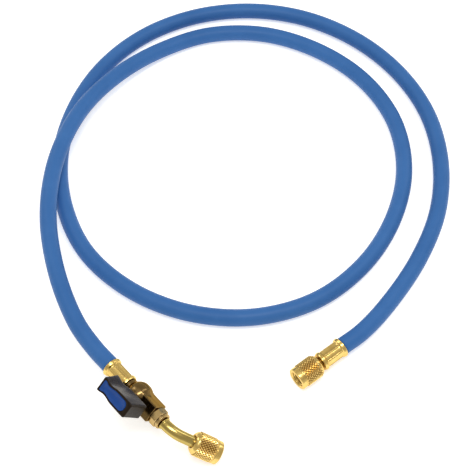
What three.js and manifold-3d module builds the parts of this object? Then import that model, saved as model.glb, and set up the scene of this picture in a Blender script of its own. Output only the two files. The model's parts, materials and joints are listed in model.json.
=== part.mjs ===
import * as THREE from 'three';
import { mergeVertices } from 'three/addons/utils/BufferGeometryUtils.js';
import Module from 'manifold-3d';

// Refrigerant charging hose lying in a loose coil of one and a half turns.
// One end has a straight swivel fitting, the other a quarter-turn ball valve
// with a bent tube and a second swivel fitting. Millimetres, +Z up, floor at Z 0.

// Clearances
const touch = 0.3;

// Hose
const hoseDiameter = 12.7;
const hoseLeadLength = 19;
const hoseSides = 12;
const hoseStep = 26;
const squeezedRadius = 5.0;

// Crimped ferrule
const ferruleLength = 19.4;
const ferruleRadius = 7.0;
const ferruleMouthRadius = 7.45;
const crimpRadius = 6.2;
const crimpCollar = 3.0;
const crimpSlope = 0.7;
const ferruleWall = 2.0;

// Barbed tail that goes into the hose
const tailRadius = 3.1;
const barbRadius = 3.5;
const barbPitch = 4.2;
const barbCount = 3;
const barbLand = 0.6;
const tailInset = 1.2;
const tipTaper = 0.5;

// Flared head and neck that carry each swivel nut
const neckRadius = 4.1;
const headRadius = 5.1;
const headLength = 2.6;
const headChamfer = 0.5;
const flowBore = 2.0;
const neckShown = 1.4;

// Knurled swivel nut
const nutLength = 20.2;
const nutRadius = 8.6;
const nutBandRadius = 8.2;
const nutBandLength = 4.2;
const nutNose = 2.9;
const nutNoseRadius = 6.2;
const nutThreadRadius = 5.56;
const nutBackWall = 3.0;
const nutChamfer = 0.4;
const threadLeadIn = 0.6;

// Sealing ring inside each nut
const gasketThickness = 1.8;
const gasketBore = 2.3;

// Ball valve body
const barSide = 13;
const bodyLength = 29.1;
const collarRadius = 6.0;
const collarLength = 2.2;
const housingRadius = 10.0;
const stemAt = 11.2;
const barBehindStem = 3.0;
const bodyChamfer = 0.3;
const necking = [0.9, 0.7];
// Places along X from the stem's axis, each with its drop below the housing's radius
const housingShape = [[-5.4, 1.3], [-3.2, 0.3], [-1, 0], [2, 0.2], [4.5, 0.7], [6, 1.8]];
const valveBore = 2.4;
const chamberRadius = 5.6;
const bossRadius = 4.5;
const bossTop = 12.9;

// Ball, its seats and its stem
const ballRadius = 5.3;
const seatBehindBall = 1.0;
const stemRadius = 2.3;
const tangWidth = 2.0;
const tangDepth = 1.2;
const tangLength = 3.7;
const squareDrive = 3.6;
const driveHeight = 6.0;

// Handle and its coloured insert
const handleBase = 13.8;
const handleHeight = 16.6;
const handleLength = 28.2;
const handleWidth = 11.2;
const handleBackWidth = 11;
const handleWaist = 9.0;
const handleWaistAt = -7.6;
const handleCurve = 3.5;
const handleNose = 1.0;
const handleBaseGrowth = 1.14;
const insertNose = 3.4;
const insertFrontRim = 3.0;
const insertRim = 1.4;
const insertDepth = 1.6;

// Hex adapter
const hexFlats = 12;
const hexLength = 5.2;
const adapterChamfer = 0.5;
const adapterCollarRadius = 6.0;
const adapterCollarLength = 2.4;
const spigotRadius = 5.3;
const tubeSocket = 4.0;

// Bent tube
const tubeRadius = 4.0;
const tubeBore = 2.5;
const bendAngle = 45;
const bendRadius = 20;
const tubeLeadIn = 1.6;
const tubeLeadOut = 7.0;
const flareRoot = 1.5;

// Where the two ends lie in the coil
const farEndAt = [50.2, -131.0];
const farEndHeading = -142.1;
const valveAt = [-82.1, -154.0];
const valveHeading = -48.5;
const valveClimb = 3.0;
const stemLean = 36.3;
const bendClock = 7;

// The hose's route from the straight fitting to the valve, as points in plan and
// a lift in hose diameters. The inner turn rides over the outer one on the left.
const route = [
  [100.5, -84.5, 0], [126.5, -46, 0], [145, -2.5, 0], [151, 44.5, 0], [144, 91, 0],
  [123, 133, 0], [90.5, 167, 0], [49, 190, 0], [3, 198.5, 0], [-43.5, 192, 0],
  [-85.5, 171, 0], [-118.5, 137, 0], [-139, 94.5, 0], [-147, 48, 0], [-140.5, 1.5, 0],
  [-120.5, -40.5, 0], [-85.5, -72.5, 0], [-42, -91, 0], [5, -94, 0], [50, -80, 0],
  [86, -50, 0], [110.5, -10, 0], [122, 35.5, 0], [117, 82.5, 0], [94.5, 124, 0],
  [59, 154.5, 0], [15, 172, 0], [-32, 171.5, 0], [-74.5, 152, 0.12], [-108, 120, 0.6],
  [-133, 80, 1.05], [-147.5, 35, 1.05], [-149.8, -13.5, 0.95], [-140.2, -61, 0.88],
  [-122.6, -103.5, 0.93],
];

const rad = THREE.MathUtils.degToRad;
const wasm = await Module();
wasm.setup();

const finishes = {
  hose: { color: 0x2f62a0, roughness: 0.55, metalness: 0 },
  nutBrass: { color: 0xd3a83c, roughness: 0.35, metalness: 1 },
  bodyBrass: { color: 0xb98a3e, roughness: 0.3, metalness: 1 },
  seal: { color: 0x1c1c1c, roughness: 0.8, metalness: 0 },
  seat: { color: 0xe8e6df, roughness: 0.5, metalness: 0 },
  steel: { color: 0xb9bbbd, roughness: 0.3, metalness: 1 },
  handle: { color: 0x14110f, roughness: 0.25, metalness: 0 },
  insert: { color: 0x1f4596, roughness: 0.35, metalness: 0 },
};

function named(name, geometry, finish) {
  const mesh = new THREE.Mesh(geometry, new THREE.MeshStandardMaterial(finishes[finish]));
  mesh.name = name;
  return mesh;
}

// Booleans: a geometry becomes a closed solid and comes back as a geometry.
function solidOf(geometry) {
  const bare = new THREE.BufferGeometry();
  bare.setAttribute('position', geometry.attributes.position.clone());
  if (geometry.index) {
    bare.setIndex(geometry.index.clone());
  }
  const merged = mergeVertices(bare, 1e-4);
  const corners = merged.index.array;
  const kept = [];
  for (let i = 0; i < corners.length; i += 3) {
    const [a, b, c] = [corners[i], corners[i + 1], corners[i + 2]];
    if (a !== b && b !== c && c !== a) {
      kept.push(a, b, c);
    }
  }
  return new wasm.Manifold(new wasm.Mesh({
    numProp: 3,
    vertProperties: new Float32Array(merged.attributes.position.array),
    triVerts: new Uint32Array(kept),
  }));
}

function geometryOf(solid) {
  const mesh = solid.getMesh();
  const geometry = new THREE.BufferGeometry();
  geometry.setAttribute('position', new THREE.BufferAttribute(mesh.vertProperties, 3));
  geometry.setIndex(new THREE.BufferAttribute(mesh.triVerts, 1));
  geometry.computeVertexNormals();
  return geometry;
}

function joinAndCut(joined, cuts = []) {
  let solid = solidOf(joined[0]);
  for (const more of joined.slice(1)) {
    solid = solid.add(solidOf(more));
  }
  for (const tool of cuts) {
    solid = solid.subtract(solidOf(tool));
  }
  return geometryOf(solid);
}

// A turned form about X, from points [place along X, radius].
function turned(profile, sides = 24) {
  const points = profile.map(([x, radius]) => new THREE.Vector2(radius, x));
  return new THREE.LatheGeometry(points, sides).rotateZ(-Math.PI / 2);
}

function rod(from, to, radius, sides = 24) {
  return turned([[from, 0], [from, radius], [to, radius], [to, 0]], sides);
}

function ring(from, to, inner, outer, sides = 24) {
  return turned([[from, inner], [from, outer], [to, outer], [to, inner], [from, inner]], sides);
}

// The same forms standing on Z, for what goes up the valve's stem.
function upright(geometry) {
  return geometry.rotateY(-Math.PI / 2);
}

function block(x, y, z, sizeX, sizeY, sizeZ) {
  return new THREE.BoxGeometry(sizeX, sizeY, sizeZ).translate(x, y, z);
}

// Crimped ferrule: a shell with a collar at each end and an end wall that
// hooks behind the tail. It spans X from minus its length to 0.
function ferrule() {
  const mouth = -ferruleLength;
  const inside = squeezedRadius + touch;
  const tailHole = tailRadius + touch;
  return turned([
    [mouth, inside], [mouth, ferruleMouthRadius],
    [mouth + crimpCollar - crimpSlope, ferruleRadius], [mouth + crimpCollar, crimpRadius],
    [-crimpCollar, crimpRadius], [-crimpCollar + crimpSlope, ferruleRadius],
    [-nutChamfer, ferruleRadius], [0, ferruleRadius - nutChamfer],
    [0, tailHole], [-ferruleWall, tailHole],
    [-ferruleWall, inside], [mouth, inside],
  ]);
}

// Barbed tail profile from its tip to the groove that the ferrule hooks into.
function tailProfile(start) {
  const points = [[start, tailRadius - tipTaper]];
  for (let i = 0; i < barbCount; i += 1) {
    const barb = start + (i + 1) * barbPitch;
    points.push([barb - barbLand, barbRadius], [barb, barbRadius], [barb, tailRadius]);
  }
  points.push([touch, tailRadius]);
  return points;
}

const tailTip = -ferruleLength + tailInset;

// Swivel nut: back wall with a hole for the neck, threaded mouth, knurled
// barrel and a smooth band at the open end. Its back face is at X 0.
function swivelNut() {
  const hole = neckRadius + touch;
  const bandStart = nutLength - nutBandLength;
  const noseStep = (nutRadius - nutNoseRadius) / 3;
  return turned([
    [0, hole], [0, nutNoseRadius], [nutNose * 0.25, nutNoseRadius + noseStep * 1.4],
    [nutNose * 0.6, nutNoseRadius + noseStep * 2.4], [nutNose, nutRadius],
    [bandStart, nutRadius], [bandStart + touch, nutBandRadius],
    [nutLength - nutChamfer, nutBandRadius], [nutLength, nutBandRadius - nutChamfer],
    [nutLength, nutThreadRadius + threadLeadIn], [nutLength - threadLeadIn, nutThreadRadius],
    [nutBackWall, nutThreadRadius], [nutBackWall, hole], [0, hole],
  ], 32);
}

// Neck and flared head that hold a nut whose back face is at the given place.
function flaredHead(start, nutBack) {
  const head = nutBack + nutBackWall + touch;
  return [
    [start, neckRadius], [head, neckRadius], [head, headRadius],
    [head + headLength - headChamfer, headRadius], [head + headLength, headRadius - headChamfer],
  ];
}

function gasket(nutBack) {
  const seat = nutBack + nutBackWall + touch + headLength + touch;
  return ring(seat, seat + gasketThickness, gasketBore, headRadius - 0.2);
}

// Straight end: ferrule, barbed stem, seal and nut, with the ferrule's end wall at X 0.
function straightEnd() {
  const end = new THREE.Group();
  const head = flaredHead(touch, neckShown);
  const tip = head[head.length - 1][0];
  const stem = [
    [tailTip, flowBore], ...tailProfile(tailTip), ...head, [tip, flowBore], [tailTip, flowBore],
  ];
  const nut = named('straight_swivel_nut', swivelNut(), 'nutBrass');
  nut.position.x = neckShown;
  end.add(
    named('straight_end_ferrule', ferrule(), 'nutBrass'),
    named('straight_end_stem', turned(stem), 'bodyBrass'),
    named('straight_end_seal', gasket(neckShown), 'seal'),
    nut,
  );
  return end;
}

// Valve body: barbed tail, round collar, round ball housing, square bar and a
// boss for the stem. The chamber is bored from the front.
function valveBody() {
  const collarEnd = touch + collarLength;
  const chamberBack = stemAt - ballRadius - seatBehindBall;
  const housing = housingShape.map(([along, drop]) => [stemAt + along, housingRadius - drop]);
  const housingEnd = housing[housing.length - 1][0];
  const blank = turned([
    [tailTip, 0], ...tailProfile(tailTip),
    [touch, collarRadius - bodyChamfer], [touch + bodyChamfer, collarRadius], [collarEnd, collarRadius],
    [collarEnd + necking[0], collarRadius + necking[1]], ...housing, [housingEnd, 0],
  ], 32);
  const barStart = stemAt - barBehindStem;
  const bar = block((barStart + bodyLength) / 2, 0, 0, bodyLength - barStart, barSide, barSide);
  const boss = upright(rod(0, bossTop, bossRadius)).translate(stemAt, 0, 0);
  const flow = rod(tailTip - 1, chamberBack + 1, valveBore);
  const chamber = rod(chamberBack, bodyLength + 1, chamberRadius);
  const stemHole = upright(rod(0, bossTop + 1, stemRadius + touch)).translate(stemAt, 0, 0);
  return joinAndCut([blank, bar, boss], [flow, chamber, stemHole]);
}

// Seat ring: flat behind, hollowed to the ball in front. It faces +X.
function ballSeat() {
  const dish = ballRadius + touch;
  const outer = chamberRadius - touch;
  const at = (radius) => -Math.sqrt(dish * dish - radius * radius);
  const back = -(ballRadius + seatBehindBall) + touch;
  const middle = (valveBore + outer) / 2;
  return turned([
    [back, valveBore], [back, outer], [at(outer - 0.2), outer], [at(outer - 0.2), outer - 0.2],
    [at(middle), middle], [at(valveBore), valveBore], [back, valveBore],
  ]);
}

function ball() {
  const bore = rod(-ballRadius - 1, ballRadius + 1, valveBore);
  const slotDepth = tangDepth + touch;
  const slot = block(0, 0, ballRadius - slotDepth / 2 + 1, ballRadius * 2 + 2, tangWidth + 2 * touch, slotDepth + 2);
  return joinAndCut([new THREE.SphereGeometry(ballRadius, 28, 18)], [bore, slot]);
}

// Stem: a tang in the ball's slot, a round shank and a square drive on top.
function valveStem() {
  const tangFoot = ballRadius - tangDepth;
  const shankFoot = ballRadius + touch;
  const tang = block(0, 0, (tangFoot + shankFoot + 1) / 2, tangLength, tangWidth, shankFoot + 1 - tangFoot);
  const shank = upright(rod(shankFoot, handleBase, stemRadius));
  const driveTop = handleBase + driveHeight;
  const drive = block(0, 0, (handleBase - 1 + driveTop) / 2, squareDrive, squareDrive, driveTop - handleBase + 1);
  return joinAndCut([shank, tang, drive]);
}

// The handle's outline: wide at the front, waisted behind the middle, flared at
// the back. One side is drawn, and the other is the same one mirrored.
function handleOutline(inset, noseRound, frontInset = inset) {
  const front = handleLength / 2 - frontInset;
  const back = -handleLength / 2 + inset;
  const half = handleWidth / 2 - inset;
  const halfBack = handleBackWidth / 2 - inset;
  const halfWaist = handleWaist / 2 - inset;
  const wideAt = handleWaistAt + 2.5 * handleCurve;
  const side = new THREE.Shape();
  side.moveTo(back, halfBack);
  side.bezierCurveTo(
    back + handleCurve, halfBack, handleWaistAt - handleCurve / 2, halfWaist, handleWaistAt, halfWaist,
  );
  side.bezierCurveTo(handleWaistAt + handleCurve, halfWaist, wideAt - handleCurve, half, wideAt, half);
  side.lineTo(front - noseRound, half);
  side.quadraticCurveTo(front, half, front, half - noseRound);
  const points = side.getPoints(5);
  const mirrored = points.map((point) => new THREE.Vector2(point.x, -point.y)).reverse();
  return new THREE.Shape([...mirrored, ...points]);
}

function handle() {
  const body = new THREE.ExtrudeGeometry(handleOutline(0, handleNose), {
    depth: handleHeight, bevelEnabled: false,
  });
  const places = body.attributes.position;
  for (let i = 0; i < places.count; i += 1) {
    if (places.getZ(i) < handleHeight / 2) {
      places.setX(i, places.getX(i) * handleBaseGrowth);
    }
  }
  body.translate(0, 0, handleBase);
  const top = handleBase + handleHeight;
  const recess = new THREE.ExtrudeGeometry(handleOutline(insertRim, insertNose, insertFrontRim), {
    depth: insertDepth + 1, bevelEnabled: false,
  }).translate(0, 0, top - insertDepth);
  const socketTop = handleBase + driveHeight + touch;
  const socketSize = squareDrive + 2 * touch;
  const socket = block(0, 0, (handleBase - 1 + socketTop) / 2, socketSize, socketSize, socketTop - handleBase + 1);
  return joinAndCut([body], [recess, socket]);
}

function handleInsert() {
  const thickness = insertDepth - touch;
  return new THREE.ExtrudeGeometry(handleOutline(insertRim + touch, insertNose, insertFrontRim + touch), {
    depth: thickness, bevelEnabled: false,
  }).translate(0, 0, handleBase + handleHeight - thickness);
}

// Hex adapter: a spigot in the body's chamber, a hexagon, a round collar and a
// socket that the bent tube is brazed into.
const adapterFace = bodyLength + touch;
const adapterEnd = adapterFace + hexLength + adapterCollarLength;

function hexAdapter() {
  const spigotStart = stemAt + ballRadius + seatBehindBall;
  const corner = hexFlats / 2 / Math.cos(Math.PI / 6);
  const hexagon = rod(adapterFace, adapterFace + hexLength, corner, 6);
  const collar = turned([
    [adapterFace + 1, 0], [adapterFace + 1, adapterCollarRadius - 3 * adapterChamfer],
    [adapterFace + hexLength, adapterCollarRadius], [adapterEnd - adapterChamfer, adapterCollarRadius],
    [adapterEnd, adapterCollarRadius - adapterChamfer], [adapterEnd, 0],
  ]);
  const spigot = rod(spigotStart, adapterFace + 1, spigotRadius);
  const flow = rod(spigotStart - 1, adapterEnd, valveBore);
  const socket = rod(adapterEnd - tubeSocket, adapterEnd + 1, tubeRadius + touch);
  return joinAndCut([hexagon, collar, spigot], [flow, socket]);
}

// The tube's middle line: straight out of the socket, a bend towards -Z, straight again.
class BentLine extends THREE.Curve {
  constructor(start, leadIn, leadOut) {
    super();
    this.start = start;
    this.leadIn = leadIn;
    this.arc = bendRadius * rad(bendAngle);
    this.total = leadIn + this.arc + leadOut;
  }

  getPoint(t, target = new THREE.Vector3()) {
    const along = t * this.total;
    const turn = THREE.MathUtils.clamp(along - this.leadIn, 0, this.arc) / bendRadius;
    const before = Math.min(along, this.leadIn);
    const after = Math.max(along - this.leadIn - this.arc, 0);
    return target.set(
      this.start + before + bendRadius * Math.sin(turn) + after * Math.cos(turn),
      0,
      -bendRadius * (1 - Math.cos(turn)) - after * Math.sin(turn),
    );
  }
}

const tubeStart = adapterEnd - tubeSocket + touch;
const tubeRun = new BentLine(tubeStart, tubeSocket - touch + tubeLeadIn, tubeLeadOut);
const nutBackPoint = tubeRun.getPoint(1);

function circle(radius, sides) {
  const points = [];
  for (let i = 0; i < sides; i += 1) {
    const turn = 2 * Math.PI * i / sides;
    points.push(new THREE.Vector2(radius * Math.cos(turn), radius * Math.sin(turn)));
  }
  return points;
}

function onNutAxis(geometry) {
  return geometry.rotateY(rad(bendAngle)).translate(nutBackPoint.x, 0, nutBackPoint.z);
}

function bentTube() {
  const outside = new THREE.ExtrudeGeometry(new THREE.Shape(circle(tubeRadius, 20)), {
    steps: 16, bevelEnabled: false, extrudePath: tubeRun,
  });
  const inside = new THREE.ExtrudeGeometry(new THREE.Shape(circle(tubeBore, 12)), {
    steps: 16, bevelEnabled: false, extrudePath: tubeRun,
  });
  const head = flaredHead(-flareRoot, 0);
  const tip = head[head.length - 1][0];
  const flare = onNutAxis(turned([[-flareRoot, 0], ...head, [tip, 0]]));
  const flareBore = onNutAxis(rod(-flareRoot, tip + 1, tubeBore, 12));
  const backOfTube = rod(tubeStart - 1, tubeStart + 0.5, tubeBore, 12);
  return joinAndCut([outside, flare], [inside, flareBore, backOfTube]);
}

// Valve end: the valve's own axis is X and its stem points along Z.
function valveEnd() {
  const end = new THREE.Group();

  const frontSeat = ballSeat().rotateZ(Math.PI).translate(stemAt, 0, 0);
  end.add(
    named('valve_end_ferrule', ferrule(), 'nutBrass'),
    named('valve_body', valveBody(), 'bodyBrass'),
    named('ball_seat_hose_side', ballSeat().translate(stemAt, 0, 0), 'seat'),
    named('ball_seat_tube_side', frontSeat, 'seat'),
  );

  const lever = new THREE.Group();
  lever.position.x = stemAt;
  lever.add(
    named('valve_ball', ball(), 'steel'),
    named('valve_stem', valveStem(), 'bodyBrass'),
    named('valve_handle', handle(), 'handle'),
    named('handle_insert', handleInsert(), 'insert'),
  );

  const outlet = new THREE.Group();
  outlet.rotation.x = rad(bendClock);
  const swivel = new THREE.Group();
  swivel.position.copy(nutBackPoint);
  swivel.rotation.y = rad(bendAngle);
  swivel.add(
    named('valve_swivel_nut', swivelNut(), 'nutBrass'),
    named('valve_end_seal', gasket(0), 'seal'),
  );
  outlet.add(
    named('hex_adapter', hexAdapter(), 'bodyBrass'),
    named('bent_tube', bentTube(), 'nutBrass'),
    swivel,
  );
  end.add(lever, outlet);
  return end;
}

const coil = new THREE.Group();

const straight = straightEnd();
straight.position.set(farEndAt[0], farEndAt[1], nutRadius);
straight.rotation.z = rad(farEndHeading);
coil.add(straight);

const valve = valveEnd();
valve.rotation.set(rad(stemLean), -rad(valveClimb), rad(valveHeading), 'ZYX');
valve.position.set(valveAt[0], valveAt[1], 0);
coil.add(valve);

// The valve end stands on the lowest point of its nut's band.
coil.updateMatrixWorld(true);
const valveNut = valve.getObjectByName('valve_swivel_nut');
const rimCentre = valveNut.localToWorld(new THREE.Vector3(nutLength - nutChamfer, 0, 0));
const nutAxis = new THREE.Vector3(1, 0, 0).transformDirection(valveNut.matrixWorld);
valve.position.z = nutBandRadius * Math.hypot(nutAxis.x, nutAxis.y) - rimCentre.z;
coil.updateMatrixWorld(true);

// Hose: straight out of each ferrule, and squeezed on its tail inside.
function hoseLead(end, distance) {
  return end.localToWorld(new THREE.Vector3(-ferruleLength - touch - distance, 0, 0));
}

function hose() {
  const points = [hoseLead(straight, 0), hoseLead(straight, hoseLeadLength)];
  for (const [x, y, lift] of route) {
    points.push(new THREE.Vector3(x, y, hoseDiameter * (0.5 + lift)));
  }
  points.push(hoseLead(valve, hoseLeadLength), hoseLead(valve, 0));
  const line = new THREE.CatmullRomCurve3(points);
  line.arcLengthDivisions = 2000;
  const run = new THREE.ExtrudeGeometry(new THREE.Shape(circle(hoseDiameter / 2, hoseSides)), {
    steps: Math.round(line.getLength() / hoseStep), bevelEnabled: false, extrudePath: line,
  });
  const inFerrule = [straight, valve].map((end) => ring(
    -ferruleLength - touch - 1, -ferruleWall - touch, barbRadius + touch, squeezedRadius, 20,
  ).applyMatrix4(end.matrixWorld));
  return joinAndCut([run, ...inFerrule]);
}

coil.add(named('hose', hose(), 'hose'));

export default coil;
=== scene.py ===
import json
import math

import bmesh
import bpy
from mathutils import Matrix, Vector


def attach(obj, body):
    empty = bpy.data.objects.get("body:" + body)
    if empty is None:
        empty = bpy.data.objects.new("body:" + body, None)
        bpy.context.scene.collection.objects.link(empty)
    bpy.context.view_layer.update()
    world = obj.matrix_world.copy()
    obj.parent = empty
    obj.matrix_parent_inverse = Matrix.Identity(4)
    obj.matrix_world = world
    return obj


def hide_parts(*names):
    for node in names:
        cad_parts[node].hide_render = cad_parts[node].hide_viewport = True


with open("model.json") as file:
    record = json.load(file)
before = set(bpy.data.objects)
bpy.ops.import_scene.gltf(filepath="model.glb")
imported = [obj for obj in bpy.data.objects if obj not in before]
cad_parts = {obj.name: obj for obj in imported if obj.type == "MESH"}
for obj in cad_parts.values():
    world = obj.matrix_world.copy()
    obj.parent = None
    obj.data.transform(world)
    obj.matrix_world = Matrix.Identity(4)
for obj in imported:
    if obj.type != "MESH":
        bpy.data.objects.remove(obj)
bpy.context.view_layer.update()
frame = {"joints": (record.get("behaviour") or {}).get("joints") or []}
joints = {joint["name"]: joint for joint in frame["joints"]}
mm = 0.001


# Camera
# It stands 0.87 m off and looks down at 59 degrees along +Y, as the photograph
# does, with a lens long enough to fill the square picture with the coil.
camera_place = Vector((-0.0084, -0.4642, 0.7342))
camera_down = math.radians(59)
camera = bpy.data.objects.new("camera", bpy.data.cameras.new("camera"))
bpy.context.scene.collection.objects.link(camera)
camera.location = camera_place
camera.rotation_euler = (math.pi / 2 - camera_down, 0, 0)
camera.data.sensor_fit = "HORIZONTAL"
camera.data.sensor_width = 36
camera.data.lens = 85.8
camera.data.clip_start = 0.01
bpy.context.scene.camera = camera


# Hose
# A stiff charging hose of blue rubber over a braid, 12.7 mm across, extruded in
# one length. It lies on the floor in nearly two turns, and on the left its last
# stretch crosses over the first turn in a long low hump.
hose_diameter = 0.0127
ferrule_length = 0.0194
joint_gap = 0.0003
straight_lead = 0.019
stem_at = 0.0112

# The fittings' own frames: X runs out of the hose and along the fitting. The
# valve's Z is its stem.
valve_axes = (
    Matrix.Rotation(math.radians(-48.5), 4, "Z")
    @ Matrix.Rotation(math.radians(-3.0), 4, "Y")
    @ Matrix.Rotation(math.radians(36.3), 4, "X")
)
lever_place = Matrix.Translation(Vector(joints["lever_turn"]["pos_m"])) @ valve_axes
valve_place = lever_place @ Matrix.Translation((-stem_at, 0, 0))
straight_place = (
    Matrix.Translation((0.0502, -0.1310, 0.0086))
    @ Matrix.Rotation(math.radians(-142.1), 4, "Z")
)

# Route in plan from the straight fitting to the valve, in metres, and the lift
# off the floor in hose diameters.
route = [
    (0.1005, -0.0845, 0), (0.1265, -0.046, 0), (0.145, -0.0025, 0), (0.151, 0.0445, 0),
    (0.144, 0.091, 0), (0.123, 0.133, 0), (0.0905, 0.167, 0), (0.049, 0.190, 0),
    (0.003, 0.1985, 0), (-0.0435, 0.192, 0), (-0.0855, 0.171, 0), (-0.1185, 0.137, 0),
    (-0.139, 0.0945, 0), (-0.147, 0.048, 0), (-0.1405, 0.0015, 0), (-0.1205, -0.0405, 0),
    (-0.0855, -0.0725, 0), (-0.042, -0.091, 0), (0.005, -0.094, 0), (0.050, -0.080, 0),
    (0.086, -0.050, 0), (0.1105, -0.010, 0), (0.122, 0.0355, 0), (0.117, 0.0825, 0),
    (0.0945, 0.124, 0), (0.059, 0.1545, 0), (0.015, 0.172, 0), (-0.032, 0.1715, 0),
    (-0.0745, 0.152, 0.12), (-0.108, 0.120, 0.6), (-0.133, 0.080, 1.05),
    (-0.1475, 0.035, 1.05), (-0.1498, -0.0135, 0.95), (-0.1402, -0.061, 0.88),
    (-0.1226, -0.1035, 0.93),
]


def smooth_line(points, steps):
    """A smooth curve through the points that neither loops nor overshoots."""
    points = [2 * points[0] - points[1], *points, 2 * points[-1] - points[-2]]
    line = []
    for i in range(1, len(points) - 2):
        before, start, end, after = points[i - 1:i + 3]
        gaps = [math.sqrt((b - a).length) for a, b in ((before, start), (start, end), (end, after))]
        leave = (start - before) / gaps[0] - (end - before) / (gaps[0] + gaps[1])
        leave = (leave + (end - start) / gaps[1]) * gaps[1]
        arrive = (end - start) / gaps[1] - (after - start) / (gaps[1] + gaps[2])
        arrive = (arrive + (after - end) / gaps[2]) * gaps[1]
        bend = 3 * (end - start) - 2 * leave - arrive
        twist = 2 * (start - end) + leave + arrive
        for k in range(steps):
            t = k / steps
            line.append(start + t * leave + t * t * bend + t * t * t * twist)
    line.append(points[-2])
    return line


def even_steps(line, step):
    """The same line with its points a step apart."""
    total = sum((b - a).length for a, b in zip(line, line[1:]))
    count = round(total / step)
    kept = [line[0]]
    walked = 0.0
    for a, b in zip(line, line[1:]):
        stretch = (b - a).length
        while len(kept) < count and walked + stretch >= total * len(kept) / count:
            kept.append(a.lerp(b, (total * len(kept) / count - walked) / stretch))
        walked += stretch
    kept.append(line[-1])
    return kept


def new_piece(name, build, material, body):
    """A bmesh as a named, smooth object that rides on a body."""
    mesh = bpy.data.meshes.new(name)
    build.to_mesh(mesh)
    build.free()
    for face in mesh.polygons:
        face.use_smooth = True
    piece = bpy.data.objects.new(name, mesh)
    bpy.context.scene.collection.objects.link(piece)
    piece.data.materials.append(material)
    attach(piece, body)
    return piece


def bridge_rings(build, rings, lengths, closed_ends=True):
    """Joins rings of vertices into a skin, with a UV of turns round and metres along."""
    sides = len(rings[0])
    layer = build.loops.layers.uv.get("turned") or build.loops.layers.uv.new("turned")
    for i in range(len(rings) - 1):
        for k in range(sides):
            after = (k + 1) % sides
            face = build.faces.new((rings[i][k], rings[i][after], rings[i + 1][after], rings[i + 1][k]))
            spots = ((k, i), (k + 1, i), (k + 1, i + 1), (k, i + 1))
            for loop, (around, along) in zip(face.loops, spots):
                loop[layer].uv = (around / sides, lengths[along])
    if closed_ends:
        build.faces.new(list(reversed(rings[0])))
        build.faces.new(rings[-1])


def swept(line, radius, sides):
    """A tube of one radius along a line, without twist."""
    build = bmesh.new()
    ahead = (line[1] - line[0]).normalized()
    side = ahead.orthogonal().normalized()
    rings = []
    lengths = [0.0]
    for i, point in enumerate(line):
        after = line[min(i + 1, len(line) - 1)]
        before = line[max(i - 1, 0)]
        tangent = (after - before).normalized()
        side = (side - tangent * side.dot(tangent)).normalized()
        other = tangent.cross(side)
        turns = [2 * math.pi * k / sides for k in range(sides)]
        rings.append([
            build.verts.new(point + radius * (math.cos(turn) * side + math.sin(turn) * other))
            for turn in turns
        ])
        if i:
            lengths.append(lengths[-1] + (point - line[i - 1]).length)
    bridge_rings(build, rings, lengths)
    return build


def new_material(name):
    material = bpy.data.materials.new(name)
    material.use_nodes = True
    nodes = material.node_tree.nodes
    return material, nodes, material.node_tree.links, nodes["Principled BSDF"]


def add_node(nodes, kind, **settings):
    """A node with its sockets set by name and its options by attribute."""
    node = nodes.new(kind)
    for name, value in settings.items():
        if hasattr(node, name):
            setattr(node, name, value)
        else:
            node.inputs[name.replace("_", " ")].default_value = value
    return node


def ramp(nodes, stops):
    node = nodes.new("ShaderNodeValToRGB")
    elements = node.color_ramp.elements
    while len(elements) < len(stops):
        elements.new(0.5)
    for element, (place, colour) in zip(elements, stops):
        element.position = place
        element.color = (*colour, 1) if len(colour) == 3 else colour
    return node


def grey(value):
    return (value, value, value)


def hose_rubber():
    material, nodes, links, shader = new_material("hose_rubber")
    place = add_node(nodes, "ShaderNodeTexCoord")
    # Slow colour drift of the dyed cover
    drift = add_node(nodes, "ShaderNodeTexNoise", Scale=26.0, Detail=4.0, Roughness=0.6)
    links.new(place.outputs["Object"], drift.inputs["Vector"])
    tint = ramp(nodes, [(0.3, (0.032, 0.123, 0.35)), (0.7, (0.043, 0.148, 0.40))])
    links.new(drift.outputs["Fac"], tint.inputs["Fac"])
    links.new(tint.outputs["Color"], shader.inputs["Base Color"])
    # Handling sheen: shinier and duller patches
    patch = add_node(nodes, "ShaderNodeTexNoise", Scale=90.0, Detail=5.0, Roughness=0.65)
    links.new(place.outputs["Object"], patch.inputs["Vector"])
    shine = ramp(nodes, [(0.25, grey(0.36)), (0.8, grey(0.52))])
    links.new(patch.outputs["Fac"], shine.inputs["Fac"])
    links.new(shine.outputs["Color"], shader.inputs["Roughness"])
    # Fine grain of the extruded cover, drawn out along the hose
    stretch = add_node(nodes, "ShaderNodeMapping", Scale=(60.0, 500.0, 1.0))
    skin = add_node(nodes, "ShaderNodeUVMap", uv_map="turned")
    links.new(skin.outputs["UV"], stretch.inputs["Vector"])
    grain = add_node(nodes, "ShaderNodeTexNoise", Scale=1.0, Detail=3.0, Roughness=0.6)
    links.new(stretch.outputs["Vector"], grain.inputs["Vector"])
    speck = add_node(nodes, "ShaderNodeTexNoise", Scale=2600.0, Detail=2.0)
    links.new(place.outputs["Object"], speck.inputs["Vector"])
    both = add_node(nodes, "ShaderNodeMath", operation="ADD")
    links.new(grain.outputs["Fac"], both.inputs[0])
    links.new(speck.outputs["Fac"], both.inputs[1])
    bump = add_node(nodes, "ShaderNodeBump", Strength=0.12, Distance=0.00015)
    links.new(both.outputs["Value"], bump.inputs["Height"])
    links.new(bump.outputs["Normal"], shader.inputs["Normal"])
    shader.inputs["Specular IOR Level"].default_value = 0.15
    return material


def beyond_mouth(place, distance):
    return place @ Vector((-ferrule_length - joint_gap - distance, 0, 0))


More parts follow.
